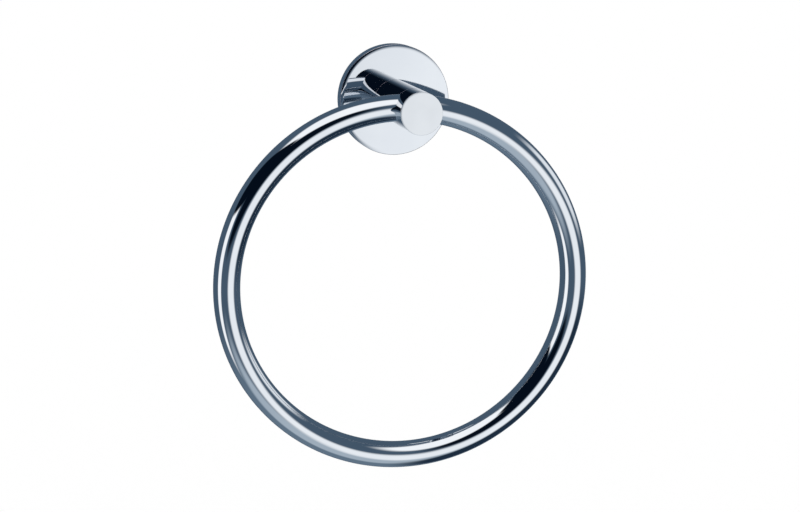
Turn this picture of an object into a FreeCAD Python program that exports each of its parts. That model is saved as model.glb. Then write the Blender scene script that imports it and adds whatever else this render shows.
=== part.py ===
import FreeCAD, Part
import math
import os
from FreeCAD import Vector

# Towel ring: a bent tube ring clamped across the split head of a round wall post.
# X points right, Y points into the wall and Z points up. The origin lies on the wall,
# on the axis of the post. "Out" is a distance from the wall towards the room, along -Y.
# All sizes are millimetres and degrees.

# Ring
ring_outside_d = 200.0
ring_tube_d = 14.0
ring_tube_wall = 1.0
ring_end_gap = 8.0
ring_from_wall = 57.0
ring_rise = 1.0

# Dowel that joins the two ends of the ring inside the head
dowel_length = 20.0
dowel_fit = 0.1

# Post and end cap
post_d = 22.0
edge_break = 0.1
cap_front_wall = 4.9
ring_seat_fit = 0.1

# Edges of the polished front faces, which fall away on a large arc before the corner
face_fall_r = 8.0
rose_fall_width = 2.0
cap_fall_width = 0.9
rose_corner_round = 0.3

# Spigot of the post in the rose, held from turning by two flats
spigot_d = 14.0
spigot_flats = 12.0
spigot_relief = 0.3
spigot_fit = 0.1

# Rose
rose_d = 60.0
rose_depth = 9.0
rose_front_wall = 2.5
rose_rim_wall = 3.0
rose_inner_round = 0.8

# Clamp screw from the back of the rose into the end cap, and its washer
screw_d = 6.0
screw_head_d = 10.0
screw_head_height = 4.0
screw_socket_flats = 4.0
screw_socket_depth = 2.2
screw_tip_chamfer = 0.8
screw_clearance = 0.4
thread_fit = 0.05
thread_engagement = 6.0
tap_runout = 1.5
washer_d = 17.0
washer_thickness = 1.2

# Wall plate inside the rose
plate_fit = 0.25
plate_floor = 2.2
plate_rim_wall = 4.25
plate_front_gap = 1.0
plate_groove_depth = 1.6
plate_hub_clearance = 1.0
slot_width = 4.8
slot_land = 1.2

# Grub screw under the rose, with a cone point in the groove of the wall plate
grub_d = 4.0
grub_recess = 0.3
grub_socket_flats = 2.0
grub_socket_depth = 1.8
grub_tip_gap = 0.1

# Worked-out sizes of the ring
ring_tube_r = ring_tube_d / 2
ring_bore_r = ring_tube_r - ring_tube_wall
ring_radius = ring_outside_d / 2 - ring_tube_r
ring_centre = Vector(0, -ring_from_wall, ring_rise - ring_radius)
ring_gap_angle = math.degrees(math.asin(ring_end_gap / 2 / ring_radius))

# Worked-out sizes of the head
post_r = post_d / 2
screw_tip_out = ring_from_wall + ring_tube_r + thread_engagement
tap_end_out = screw_tip_out + tap_runout
cap_end_out = tap_end_out + cap_front_wall
screw_hole_r = (screw_d + screw_clearance) / 2
tap_r = screw_d / 2 + thread_fit

# Worked-out sizes inside the rose
rose_r = rose_d / 2
cavity_r = rose_r - rose_rim_wall
cavity_depth = rose_depth - rose_front_wall
spigot_length = rose_front_wall - spigot_relief
head_seat_out = cavity_depth - washer_thickness
plate_r = cavity_r - plate_fit
plate_height = cavity_depth - plate_front_gap
plate_well_r = plate_r - plate_rim_wall
plate_hub_r = washer_d / 2 + plate_hub_clearance
slot_offset = (plate_well_r + plate_hub_r) / 2
slot_length = plate_well_r - plate_hub_r - 2 * slot_land
grub_out = plate_height / 2
grub_tip_r = plate_r - plate_groove_depth + grub_tip_gap
grub_head_r = rose_r - grub_recess

post_axis = Vector(0, 1, 0)
outwards = Vector(0, -1, 0)
downwards = Vector(0, 0, -1)


def profile_point(point):
    """Place of a (radius, out) point in the plane that profiles are drawn in."""
    radius, out = point
    return Vector(radius, -out, 0)


def turned(profile):
    """Solid turned about the post's axis through (radius, out) points.
    A list of two points in the profile is an arc: its middle and its end."""
    edges = []
    start = profile_point(profile[-1])
    for step in profile:
        if isinstance(step, list):
            middle, end = (profile_point(point) for point in step)
            edges.append(Part.Arc(start, middle, end).toShape())
        else:
            end = profile_point(step)
            edges.append(Part.LineSegment(start, end).toShape())
        start = end
    section = Part.Face(Part.Wire(edges))
    return section.revolve(Vector(0, 0, 0), post_axis, 360)


def fallen_edge(edge_r, front_out, width):
    """Profile of a front face's edge: its corner, then the arc in to the flat of the face."""
    def out_at(across):
        return front_out - face_fall_r + math.sqrt(face_fall_r ** 2 - across ** 2)

    flat_r = edge_r - width
    corner = (edge_r, out_at(width))
    middle = (flat_r + width / 2, out_at(width / 2))
    return [corner, [middle, (flat_r, front_out)]]


def rod(radius, start_out, end_out):
    """Round bar on the post's axis between two distances from the wall."""
    return Part.makeCylinder(radius, end_out - start_out, Vector(0, -start_out, 0), outwards)


def hexagon_prism(flats, length, base, direction):
    """Six-sided bar of a given width across its flats."""
    corner_r = flats / math.sqrt(3)
    corners = []
    for side in range(7):
        turn = math.radians(60 * side)
        corners.append(Vector(corner_r * math.cos(turn), corner_r * math.sin(turn), 0))
    prism = Part.Face(Part.makePolygon(corners)).extrude(Vector(0, 0, length))
    prism.Placement = FreeCAD.Placement(base, FreeCAD.Rotation(Vector(0, 0, 1), direction))
    return prism


def bent_bar(radius, start_angle, end_angle):
    """Round bar that follows the ring between two angles measured from its top."""
    top = ring_centre + Vector(0, 0, ring_radius)
    section = Part.Face(Part.Wire(Part.makeCircle(radius, top, Vector(1, 0, 0))))
    section.rotate(ring_centre, post_axis, start_angle)
    return section.revolve(ring_centre, post_axis, end_angle - start_angle)


def edges_of_circle(shape, radius, out):
    """Edges that lie on a circle about the post's axis, at a distance from the wall."""
    found = []
    for edge in shape.Edges:
        if not isinstance(edge.Curve, Part.Circle):
            continue
        at_height = abs(edge.Curve.Center.y + out) < 0.001
        if at_height and abs(edge.Curve.Radius - radius) < 0.001:
            found.append(edge)
    return found


def flatted_rod(diameter, flats, start_out, end_out):
    """Round bar on the post's axis with two flats, left and right."""
    width = end_out - start_out
    slab = Part.makeBox(flats, width, diameter, Vector(-flats / 2, -end_out, -diameter / 2))
    return rod(diameter / 2, start_out, end_out).common(slab)


def make_ring():
    """Bent tube, open inside the head, where its two ends face the clamp screw."""
    tube = bent_bar(ring_tube_r, ring_gap_angle, 360 - ring_gap_angle)
    bore = bent_bar(ring_bore_r, ring_gap_angle, 360 - ring_gap_angle)
    return tube.cut(bore)


def make_ring_dowel():
    """Curved pin inside both ends of the ring, cross-drilled for the clamp screw."""
    half_angle = math.degrees(dowel_length / 2 / ring_radius)
    pin = bent_bar(ring_bore_r - dowel_fit, -half_angle, half_angle)
    cross_hole = rod(screw_hole_r, ring_from_wall - ring_tube_d, ring_from_wall + ring_tube_d)
    return pin.cut(cross_hole)


def ring_seat():
    """Channel for the ring through the head, half in the post and half in the cap."""
    half_angle = math.degrees(math.asin((post_r + ring_tube_r) / ring_radius))
    return bent_bar(ring_tube_r + ring_seat_fit, -half_angle, half_angle)


def make_post():
    """Turned bar from the rose to the middle of the ring, with its flatted spigot."""
    body = turned([
        (0, rose_depth),
        (post_r - edge_break, rose_depth),
        (post_r, rose_depth + edge_break),
        (post_r, ring_from_wall - edge_break),
        (post_r - edge_break, ring_from_wall),
        (0, ring_from_wall),
    ])
    spigot = flatted_rod(spigot_d, spigot_flats, rose_depth - spigot_length, rose_depth)
    screw_hole = rod(screw_hole_r, 0, ring_from_wall)
    return body.fuse(spigot).cut([screw_hole, ring_seat()])


def make_end_cap():
    """Front half of the head, tapped from behind, with a plain polished face."""
    front_edge = fallen_edge(post_r, cap_end_out, cap_fall_width)
    body = turned([
        (0, ring_from_wall),
        (post_r - edge_break, ring_from_wall),
        (post_r, ring_from_wall + edge_break),
        *front_edge,
        (0, cap_end_out),
    ])
    body = body.makeFillet(edge_break, edges_of_circle(body, *front_edge[0]))
    return body.cut([rod(tap_r, ring_from_wall, tap_end_out), ring_seat()])


def make_rose():
    """Turned cup that covers the wall plate, with a flatted hole for the spigot."""
    front_edge = fallen_edge(rose_r, rose_depth, rose_fall_width)
    cup = turned([
        (0, cavity_depth),
        (cavity_r, cavity_depth),
        (cavity_r, 0),
        (rose_r, 0),
        *front_edge,
        (0, rose_depth),
    ])
    cup = cup.makeFillet(rose_corner_round, edges_of_circle(cup, *front_edge[0]))
    cup = cup.makeFillet(rose_inner_round, edges_of_circle(cup, cavity_r, cavity_depth))
    spigot_hole = flatted_rod(spigot_d + 2 * spigot_fit, spigot_flats + 2 * spigot_fit,
                              cavity_depth, rose_depth)
    grub_hole = Part.makeCylinder(grub_d / 2 + thread_fit, rose_r, Vector(0, -grub_out, 0), downwards)
    return cup.cut([spigot_hole, grub_hole])


def make_clamp_screw():
    """Socket screw from the back of the rose through the post and dowel into the cap."""
    shank = turned([
        (0, head_seat_out),
        (screw_d / 2, head_seat_out),
        (screw_d / 2, screw_tip_out - screw_tip_chamfer),
        (screw_d / 2 - screw_tip_chamfer, screw_tip_out),
        (0, screw_tip_out),
    ])
    head_back_out = head_seat_out - screw_head_height
    head = rod(screw_head_d / 2, head_back_out, head_seat_out)
    socket = hexagon_prism(screw_socket_flats, screw_socket_depth, Vector(0, -head_back_out, 0), outwards)
    return shank.fuse(head).removeSplitter().cut(socket)


def make_washer():
    """Flat washer that spans the spigot hole inside the rose."""
    disc = rod(washer_d / 2, head_seat_out, cavity_depth)
    return disc.cut(rod(screw_hole_r, head_seat_out, cavity_depth))


def screw_slot(side):
    """Cutter for one level screw slot in the floor of the wall plate."""
    straight = slot_length - slot_width
    centre = side * slot_offset
    cutter = Part.makeBox(straight, plate_floor, slot_width,
                          Vector(centre - straight / 2, -plate_floor, -slot_width / 2))
    for end in (-1, 1):
        place = Vector(centre + end * straight / 2, 0, 0)
        cutter = cutter.fuse(Part.makeCylinder(slot_width / 2, plate_floor, place, outwards))
    return cutter


def make_wall_plate():
    """Dished plate on the wall, grooved round its edge, with two screw slots."""
    dish = turned([
        (plate_hub_r, 0),
        (plate_r, 0),
        (plate_r, grub_out - plate_groove_depth),
        (plate_r - plate_groove_depth, grub_out),
        (plate_r, grub_out + plate_groove_depth),
        (plate_r, plate_height),
        (plate_well_r, plate_height),
        (plate_well_r, plate_floor),
        (plate_hub_r, plate_floor),
    ])
    return dish.cut([screw_slot(-1), screw_slot(1)])


def make_rose_grub_screw():
    """Set screw up through the rim of the rose, its cone point in the plate's groove."""
    grub_r = grub_d / 2
    point_top = Vector(0, -grub_out, -grub_tip_r)
    shank_top = point_top + downwards * grub_r
    point = Part.makeCone(0, grub_r, grub_r, point_top, downwards)
    shank = Part.makeCylinder(grub_r, grub_head_r - grub_tip_r - grub_r, shank_top, downwards)
    socket_base = Vector(0, -grub_out, -grub_head_r)
    socket = hexagon_prism(grub_socket_flats, grub_socket_depth, socket_base, Vector(0, 0, 1))
    return point.fuse(shank).cut(socket)


pieces = {
    "wall_plate": make_wall_plate(),
    "rose": make_rose(),
    "rose_grub_screw": make_rose_grub_screw(),
    "post": make_post(),
    "end_cap": make_end_cap(),
    "clamp_screw": make_clamp_screw(),
    "washer": make_washer(),
    "ring": make_ring(),
    "ring_dowel": make_ring_dowel(),
}

os.makedirs("parts", exist_ok=True)
for name, shape in pieces.items():
    shape.exportStep("parts/" + name + ".step")
    print(name, "solids", len(shape.Solids), "valid", shape.isValid(), "volume", round(shape.Volume, 1))
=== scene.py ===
import math

import bpy
from mathutils import Matrix, Vector


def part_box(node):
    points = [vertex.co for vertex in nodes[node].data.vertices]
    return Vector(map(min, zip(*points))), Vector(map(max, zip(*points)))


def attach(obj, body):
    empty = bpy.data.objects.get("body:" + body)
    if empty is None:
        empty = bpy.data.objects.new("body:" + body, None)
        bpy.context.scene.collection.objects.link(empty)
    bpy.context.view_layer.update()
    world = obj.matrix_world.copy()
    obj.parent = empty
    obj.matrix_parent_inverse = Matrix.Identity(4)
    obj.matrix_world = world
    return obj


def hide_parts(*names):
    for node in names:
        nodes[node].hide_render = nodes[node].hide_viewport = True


# Towel ring, in metres in the frame of the CAD part: X right, Y into the wall, Z up, origin on the wall
MM = 0.001

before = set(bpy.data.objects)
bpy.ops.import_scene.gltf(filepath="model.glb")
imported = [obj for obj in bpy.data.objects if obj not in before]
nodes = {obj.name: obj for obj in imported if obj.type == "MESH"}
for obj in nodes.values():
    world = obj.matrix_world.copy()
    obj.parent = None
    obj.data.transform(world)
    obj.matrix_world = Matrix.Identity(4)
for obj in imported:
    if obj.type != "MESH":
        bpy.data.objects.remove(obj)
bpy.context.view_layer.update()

# Camera, fitted to the outlines of the ring, rose and post in the photograph
IMAGE_WIDTH = 800
FOCAL_PIXELS = 1781.34
SENSOR_WIDTH_MM = 36.0
CAMERA_YAW = -12.519
CAMERA_PITCH = -10.379
CAMERA_ROLL = -3.412
CAMERA_DISTANCE_MM = 933.81
CAMERA_TARGET_MM = (-2.603, -57.0, -77.068)
CLIP_START = 0.05
CLIP_END = 100.0

# Floor below the ring, long enough to fill the picture behind it
FLOOR_Z = -0.42
FLOOR_SIZE = 60.0

# Ring, as in the CAD part, and the steps of its mesh along the ring and round the tube
RING_RADIUS = 93.0 * MM
RING_TUBE_RADIUS = 7.0 * MM
RING_BORE_RADIUS = 6.0 * MM
RING_END_GAP = 8.0 * MM
RING_CENTRE = Vector((0, -57.0, -92.0)) * MM
RING_STEPS = 576
BORE_STEPS = 64
TUBE_STEPS = 144

# Colour of the studio light at a level: red and blue are a share of a power of it, so dim light is bluer
COOL_RED = (0.97, 1.2)
COOL_BLUE = (1.03, 0.84)
ROOM_LEVEL = 0.11

# Panels that the chrome mirrors, each over those before it: azimuth 0 behind the wall, 90 right, 180 room
PANEL_ROUNDNESS = 3
STUDIO_PANELS = [
    # name, azimuth, elevation, half width, half height, softness, level
    ("table", 180, -90, 50, 50, 0.4, 0.2),
    ("table_front", 180, -50, 35, 25, 0.3, 0.5),
    ("right_flag", 90, -45, 35, 30, 0.2, 0.03),
    ("right_softbox", 90, 20, 20, 15, 0.4, 0.9),
    ("front_softbox", 150, -15, 25, 25, 0.3, 1.0),
    ("left_softbox", 250, 0, 15, 40, 0.2, 1.1),
    ("top_softbox", 205, 60, 30, 25, 0.2, 1.1),
    ("camera_flag", 200, 15, 25, 20, 0.15, 0.005),
    ("left_flag", 245, 30, 30, 15, 0.1, 0.005),
]

# Metal finishes: cloud scale, wave scale and height, and mark scale across the lay and along it and height
FINISHES = {
    "chrome": {
        "colours": ((0.785, 0.806, 0.838), (0.815, 0.834, 0.862)),
        "metallic": 1.0, "roughness": (0.012, 0.05),
        "cloud": 45, "wave": (90, 1.6e-6), "mark": (4500, 60, 1.2e-7)},
    # The same chrome as the rose, in a darker copy for the post and end cap: painted shade that makes the
    # mirrored light on them dimmer
    "shaded_head_chrome": {
        "colours": ((0.735, 0.75, 0.77), (0.775, 0.79, 0.81)),
        "metallic": 1.0, "roughness": (0.012, 0.035),
        "cloud": 60, "wave": (90, 1e-6), "mark": (4500, 60, 1.2e-7)},
    "zinc": {
        "colours": ((0.5, 0.53, 0.55), (0.72, 0.71, 0.66)),
        "metallic": 0.5, "roughness": (0.3, 0.52),
        "cloud": 160, "wave": (120, 1.5e-5), "mark": (2600, 130, 4e-6)},
    "satin_steel": {
        "colours": ((0.5, 0.51, 0.52), (0.6, 0.61, 0.62)),
        "metallic": 0.8, "roughness": (0.22, 0.4),
        "cloud": 260, "wave": (200, 4e-6), "mark": (5200, 350, 2.5e-6)},
    "brass": {
        "colours": ((0.62, 0.44, 0.19), (0.83, 0.67, 0.38)),
        "metallic": 0.8, "roughness": (0.18, 0.42),
        "cloud": 230, "wave": (160, 4e-6), "mark": (4200, 220, 2.5e-6)},
}

# Detail of the noises, the clouds' share in the wear, and the spans of noise that colour and wear cover
CLOUD_DETAIL = 4.0
MARK_DETAIL = 2.0
WAVE_DETAIL = 1.0
CLOUD_SHARE = 0.6
COLOUR_SPAN = (0.35, 0.65)
WEAR_SPAN = (0.35, 0.7)

# Bands of painted light at edges, dull grey and rough, as middle in Y and half width: on the head's real
# joints a painted glint along the joint, and on the rose's rim corner painted shade that dims the rim's
# highlight to a grey line
HEAD_JOINT_PAINTED_GLINTS = ((-9.0 * MM, 0.6 * MM), (-57.0 * MM, 0.6 * MM))
ROSE_RIM_PAINTED_SHADE = ((-8.62 * MM, 0.2 * MM),)
PAINTED_GLINT_AND_SHADE_COLOUR = (0.36, 0.33, 0.4)
EDGE_BAND_ROUGHNESS = 0.5


class Graph:
    """Adds shader nodes to a node tree and links them in one call each."""

    def __init__(self, tree):
        self.tree = tree
        tree.nodes.clear()

    def node(self, kind, inputs=None, **settings):
        made = self.tree.nodes.new(kind)
        for key, value in settings.items():
            setattr(made, key, value)
        for key, value in (inputs or {}).items():
            self.feed(made.inputs[key], value)
        return made

    def feed(self, socket, value):
        if isinstance(value, bpy.types.NodeSocket):
            self.tree.links.new(value, socket)
        else:
            socket.default_value = value

    def math(self, operation, *values):
        made = self.node("ShaderNodeMath", operation=operation)
        for socket, value in zip(made.inputs, values):
            self.feed(socket, value)
        return made.outputs[0]

    def length(self, a, b):
        squares = [self.math("MULTIPLY", side, side) for side in (a, b)]
        return self.math("SQRT", self.math("ADD", *squares))

    def dot(self, a, b):
        made = self.node("ShaderNodeVectorMath", operation="DOT_PRODUCT")
        self.feed(made.inputs[0], a)
        self.feed(made.inputs[1], b)
        return made.outputs["Value"]

    def split(self, vector):
        return self.node("ShaderNodeSeparateXYZ", {"Vector": vector}).outputs[:]

    def join(self, x, y, z):
        return self.node("ShaderNodeCombineXYZ", {"X": x, "Y": y, "Z": z}).outputs[0]

    def noise(self, vector, scale, detail):
        inputs = {"Vector": vector, "Scale": scale, "Detail": detail}
        return self.node("ShaderNodeTexNoise", inputs).outputs[0]

    def span(self, value, start, end, low, high):
        inputs = {"Value": value, "From Min": start, "From Max": end, "To Min": low, "To Max": high}
        return self.node("ShaderNodeMapRange", inputs, interpolation_type="SMOOTHSTEP").outputs[0]

    def mix(self, share, under, over):
        made = self.node("ShaderNodeMix", data_type="RGBA")
        self.feed(made.inputs["Factor"], share)
        self.feed(made.inputs[6], under)
        self.feed(made.inputs[7], over)
        return made.outputs[2]

    def bump(self, height, distance, normal=None):
        inputs = {"Height": height, "Strength": 1.0, "Distance": distance}
        if normal is not None:
            inputs["Normal"] = normal
        return self.node("ShaderNodeBump", inputs).outputs[0]


def rgba(colour):
    return (*colour, 1.0)


def camera_rotation():
    """Turns a camera that looks along -Z with its top along +Y to the photograph's view."""
    return (
        Matrix.Rotation(math.radians(CAMERA_YAW), 3, "Z")
        @ Matrix.Rotation(math.radians(CAMERA_PITCH), 3, "X")
        @ Matrix.Rotation(math.radians(CAMERA_ROLL), 3, "Y")
        @ Matrix.Rotation(math.radians(90), 3, "X")
    )


def make_camera():
    """Camera at the photograph's place and view, with its lens fitted to a picture 800 pixels wide."""
    data = bpy.data.cameras.new("camera")
    data.sensor_fit = "HORIZONTAL"
    data.sensor_width = SENSOR_WIDTH_MM
    data.lens = FOCAL_PIXELS * SENSOR_WIDTH_MM / IMAGE_WIDTH
    data.clip_start = CLIP_START
    data.clip_end = CLIP_END
    camera = bpy.data.objects.new("camera", data)
    bpy.context.scene.collection.objects.link(camera)
    turn = camera_rotation()
    back = turn @ Vector((0, 0, 1))
    place = Vector(CAMERA_TARGET_MM) * MM + back * CAMERA_DISTANCE_MM * MM
    camera.matrix_world = Matrix.Translation(place) @ turn.to_4x4()
    bpy.context.scene.camera = camera


def panel_axes(azimuth, elevation):
    """Right, forward and up of a panel seen from the object."""
    a, e = (math.radians(angle) for angle in (azimuth, elevation))
    forward = Vector((math.sin(a) * math.cos(e), math.cos(a) * math.cos(e), math.sin(e)))
    right = Vector((math.cos(a), -math.sin(a), 0))
    return right, forward, right.cross(forward)


def panel_share(graph, direction, panel):
    """How much a panel covers a direction, from 0 outside to 1 inside."""
    azimuth, elevation, half_width, half_height, soft = panel[1:-1]
    right, forward, up = panel_axes(azimuth, elevation)
    x, y, z = (graph.dot(direction, axis) for axis in (right, forward, up))
    across = graph.math("ARCTAN2", x, y)
    along = graph.math("ARCSINE", z)
    parts = []
    for angle, half in ((across, half_width), (along, half_height)):
        ratio = graph.math("ABSOLUTE", graph.math("DIVIDE", angle, math.radians(half)))
        parts.append(graph.math("POWER", ratio, PANEL_ROUNDNESS))
    reach = graph.math("POWER", graph.math("ADD", *parts), 1 / PANEL_ROUNDNESS)
    return graph.span(reach, 1 - soft, 1 + soft, 1, 0)


def cool(level):
    """Colour of a light level: near white when bright, blue when dim."""
    (red, red_power), (blue, blue_power) = COOL_RED, COOL_BLUE
    return rgba((red * level ** red_power, level, blue * level ** blue_power))


def make_world():
    """Panels for mirrored rays, and plain white for the camera and for soft light."""
    world = bpy.data.worlds.new("studio")
    bpy.context.scene.world = world
    world.use_nodes = True
    world.cycles.sampling_method = "NONE"
    graph = Graph(world.node_tree)
    direction = graph.node("ShaderNodeTexCoord").outputs["Generated"]
    colour = cool(ROOM_LEVEL)
    for panel in STUDIO_PANELS:
        colour = graph.mix(panel_share(graph, direction, panel), colour, cool(panel[-1]))
    rays = graph.node("ShaderNodeLightPath")
    plain = graph.math("MAXIMUM", rays.outputs["Is Camera Ray"], rays.outputs["Is Diffuse Ray"])
    seen = graph.mix(plain, colour, rgba((1, 1, 1)))
    background = graph.node("ShaderNodeBackground", {"Color": seen})
    graph.node("ShaderNodeOutputWorld", {"Surface": background.outputs[0]})


def make_floor():
    """White floor that takes the shadow, and that mirrored rays pass."""
    half = FLOOR_SIZE / 2
    mesh = bpy.data.meshes.new("floor")
    corners = ((-half, -half), (half, -half), (half, half), (-half, half))
    mesh.from_pydata([(x, y, FLOOR_Z) for x, y in corners], [], [(0, 1, 2, 3)])
    floor = bpy.data.objects.new("floor", mesh)
    bpy.context.scene.collection.objects.link(floor)
    material = bpy.data.materials.new("pale_floor")
    material.use_nodes = True
    graph = Graph(material.node_tree)
    rays = graph.node("ShaderNodeLightPath")
    matt = graph.node("ShaderNodeBsdfDiffuse", {"Color": rgba((1, 1, 1))})
    clear = graph.node("ShaderNodeBsdfTransparent")
    sockets = {0: rays.outputs["Is Glossy Ray"], 1: matt.outputs[0], 2: clear.outputs[0]}
    shown = graph.node("ShaderNodeMixShader", sockets)
    graph.node("ShaderNodeOutputMaterial", {"Surface": shown.outputs[0]})
    mesh.materials.append(material)


def ring_lay(graph, place, fine, coarse):
    """Coordinates for marks that run round the ring along its tube."""
    x, y, z = graph.split(place)
    height = graph.math("SUBTRACT", z, RING_CENTRE.z)
    radius = graph.length(x, height)
    turn = graph.math("ARCTAN2", graph.math("MULTIPLY", x, -1), graph.math("MULTIPLY", height, -1))
    return graph.join(
        graph.math("MULTIPLY", turn, RING_RADIUS * coarse),
        graph.math("MULTIPLY", radius, fine),
        graph.math("MULTIPLY", y, fine),
    )


def turned_lay(graph, place, fine, coarse):
    """Coordinates for marks that run round the axis of the post."""
    x, y, z = graph.split(place)
    return graph.join(
        graph.math("MULTIPLY", graph.length(x, z), fine),
        graph.math("MULTIPLY", y, fine),
        graph.math("MULTIPLY", x, coarse),
    )


def upright_lay(graph, place, fine, coarse):
    """Coordinates for marks that run round the upright grub screw in the rim of the rose."""
    low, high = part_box("rose_grub_screw")
    x, y, z = graph.split(place)
    depth = graph.math("SUBTRACT", y, (low[1] + high[1]) / 2)
    return graph.join(
        graph.math("MULTIPLY", graph.length(x, depth), fine),
        graph.math("MULTIPLY", z, fine),
        graph.math("MULTIPLY", x, coarse),
    )


def rolled_lay(graph, place, fine, coarse):
    """Coordinates for the straight grain of rolled sheet, along X."""
    x, y, z = graph.split(place)
    return graph.join(
        graph.math("MULTIPLY", x, coarse),
        graph.math("MULTIPLY", y, fine),
        graph.math("MULTIPLY", z, fine),
    )


def painted_edge_share(graph, place, edges):
    """1 along the bands of painted glint and shade at the edges and 0 away from them."""
    x, y, z = graph.split(place)
    share = 0.0
    for middle, half_width in edges:
        off = graph.math("ABSOLUTE", graph.math("SUBTRACT", y, middle))
        share = graph.math("MAXIMUM", share, graph.span(off, half_width / 2, half_width, 1, 0))
    return share


def metal_material(name, finish, lay, edges=()):
    """Metal with cloudy colour and roughness, a broad unevenness and fine marks that follow the lay."""
    material = bpy.data.materials.new(name)
    material.use_nodes = True
    graph = Graph(material.node_tree)
    place = graph.node("ShaderNodeTexCoord").outputs["Object"]
    fine, coarse, mark_height = finish["mark"]
    wave_scale, wave_height = finish["wave"]
    clouds = graph.noise(place, finish["cloud"], CLOUD_DETAIL)
    marks = graph.noise(lay(graph, place, fine, coarse), 1.0, MARK_DETAIL)
    waves = graph.noise(place, wave_scale, WAVE_DETAIL)
    darker, lighter = (rgba(colour) for colour in finish["colours"])
    smooth, rough = finish["roughness"]
    worn_clouds = graph.math("MULTIPLY", clouds, CLOUD_SHARE)
    worn_marks = graph.math("MULTIPLY", marks, 1 - CLOUD_SHARE)
    wear = graph.math("ADD", worn_clouds, worn_marks)
    colour = graph.mix(graph.span(clouds, *COLOUR_SPAN, 0, 1), darker, lighter)
    roughness = graph.span(wear, *WEAR_SPAN, smooth, rough)
    # Painted light along the edges: a dull grey colour and roughness, painted glint on the head's joints
    # and painted shade on the rose's rim
    if edges:
        share = painted_edge_share(graph, place, edges)
        colour = graph.mix(share, colour, rgba(PAINTED_GLINT_AND_SHADE_COLOUR))
        band_roughness = graph.math("MULTIPLY", share, EDGE_BAND_ROUGHNESS)
        roughness = graph.math("MAXIMUM", roughness, band_roughness)
    shader = graph.node("ShaderNodeBsdfPrincipled", {
        "Base Color": colour,
        "Metallic": finish["metallic"],
        "Roughness": roughness,
        "Normal": graph.bump(marks, mark_height, graph.bump(waves, wave_height)),
    })
    graph.node("ShaderNodeOutputMaterial", {"Surface": shader.outputs[0]})
    return material


def tube_rows(radius, rows, start, end):
    """Points of a tube round the ring's centre line, row by row from one end to the other."""
    points = []
    for row in range(rows + 1):
        angle = start + (end - start) * row / rows
        outward = Vector((math.sin(angle), 0, math.cos(angle)))
        middle = RING_CENTRE + outward * RING_RADIUS
        for step in range(TUBE_STEPS):
            turn = 2 * math.pi * step / TUBE_STEPS
            sideways = Vector((0, radius * math.sin(turn), 0))
            points.append(middle + outward * radius * math.cos(turn) + sideways)
    return points


def make_ring():
    """The CAD ring again with fine steps, so that its mirrored bands run smoothly."""
    gap = math.asin(RING_END_GAP / 2 / RING_RADIUS)
    walls = ((RING_TUBE_RADIUS, RING_STEPS, False), (RING_BORE_RADIUS, BORE_STEPS, True))
    points = []
    faces = []
    first_points = []
    for radius, rows, inside in walls:
        first = len(points)
        first_points.append(first)
        points += tube_rows(radius, rows, gap, 2 * math.pi - gap)
        for row in range(rows):
            for step in range(TUBE_STEPS):
                a = first + row * TUBE_STEPS + step
                b = first + row * TUBE_STEPS + (step + 1) % TUBE_STEPS
                corner = (a, b, b + TUBE_STEPS, a + TUBE_STEPS)
                faces.append(corner if inside else corner[::-1])
    outer, inner = first_points
    for outer_row, inner_row, at_start in ((0, 0, True), (RING_STEPS, BORE_STEPS, False)):
        for step in range(TUBE_STEPS):
            following = (step + 1) % TUBE_STEPS
            corner = (
                outer + outer_row * TUBE_STEPS + step,
                outer + outer_row * TUBE_STEPS + following,
                inner + inner_row * TUBE_STEPS + following,
                inner + inner_row * TUBE_STEPS + step,
            )
            faces.append(corner if at_start else corner[::-1])
    mesh = bpy.data.meshes.new("ring_tube")
    mesh.from_pydata(points, [], faces)
    end_faces = 2 * TUBE_STEPS
    for face in mesh.polygons:
        face.use_smooth = face.index < len(faces) - end_faces
    mesh.update()
    ring = bpy.data.objects.new("ring_tube", mesh)
    bpy.context.scene.collection.objects.link(ring)
    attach(ring, "root")
    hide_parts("ring")
    return ring


bpy.context.scene.view_settings.view_transform = "Standard"
make_camera()
make_world()
make_floor()

# Material name, finish, lay, edges with bands of painted light, and the CAD nodes that it dresses
dressed = (
    ("rose_chrome", "chrome", turned_lay, ROSE_RIM_PAINTED_SHADE, ("rose",)),
    # Post and end cap take the darker copy of the chrome, painted shade
    ("shaded_head_chrome", "shaded_head_chrome", turned_lay, HEAD_JOINT_PAINTED_GLINTS, ("post", "end_cap")),
    ("zinc_plate", "zinc", rolled_lay, (), ("wall_plate",)),
    ("turned_steel", "satin_steel", turned_lay, (), ("clamp_screw", "washer")),
    ("grub_steel", "satin_steel", upright_lay, (), ("rose_grub_screw",)),
    ("turned_brass", "brass", ring_lay, (), ("ring_dowel",)),
)
for name, finish, lay, edges, dressed_nodes in dressed:
    material = metal_material(name, FINISHES[finish], lay, edges)
    for node in dressed_nodes:
        nodes[node].material_slots[0].material = material
make_ring().data.materials.append(metal_material("tube_chrome", FINISHES["chrome"], ring_lay))
